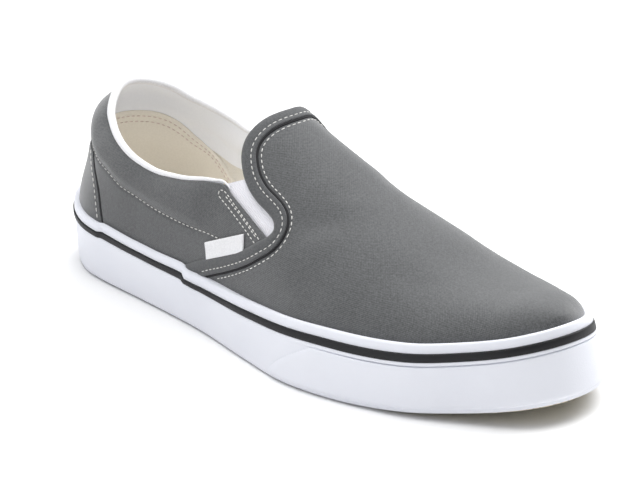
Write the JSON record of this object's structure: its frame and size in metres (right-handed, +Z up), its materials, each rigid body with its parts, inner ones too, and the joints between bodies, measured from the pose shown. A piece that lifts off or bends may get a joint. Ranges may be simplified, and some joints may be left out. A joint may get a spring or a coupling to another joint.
{
  "type": "slip-on sneaker",
  "caption": "Low canvas slip-on shoe with a padded collar, elastic side gores, a high vamp tab with a taped edge, and a flat rubber sole with a striped side wall and a toe bumper.",
  "frame": {"origin": "on the floor, under the middle of the shoe's box", "axes": "+X points to the toe, +Z is up, -Y is the lateral side of this right shoe"},
  "size_m": [0.2887, 0.1093, 0.0908],
  "materials": {
    "tread_rubber": "matt gum-tinted rubber",
    "foxing_rubber": "smooth white rubber with a soft sheen",
    "stripe_rubber": "satin black rubber",
    "upper_canvas": "dark grey plain-weave canvas",
    "gore_elastic": "white ribbed elastic",
    "label_tape": "blank white woven tape",
    "piping_tape": "white folded tape",
    "insole_cloth": "beige cloth"
  },
  "bodies": {
    "root": {"outsole": "tread_rubber", "foxing": "foxing_rubber", "foxing_stripe": "stripe_rubber", "toe_bumper": "foxing_rubber", "upper": "upper_canvas", "gore_lateral": "gore_elastic", "gore_medial": "gore_elastic", "vamp_binding": "upper_canvas", "heel_stay": "upper_canvas", "side_label": "label_tape", "collar_piping": "piping_tape", "insole": "insole_cloth"}
  },
  "joints": []
}
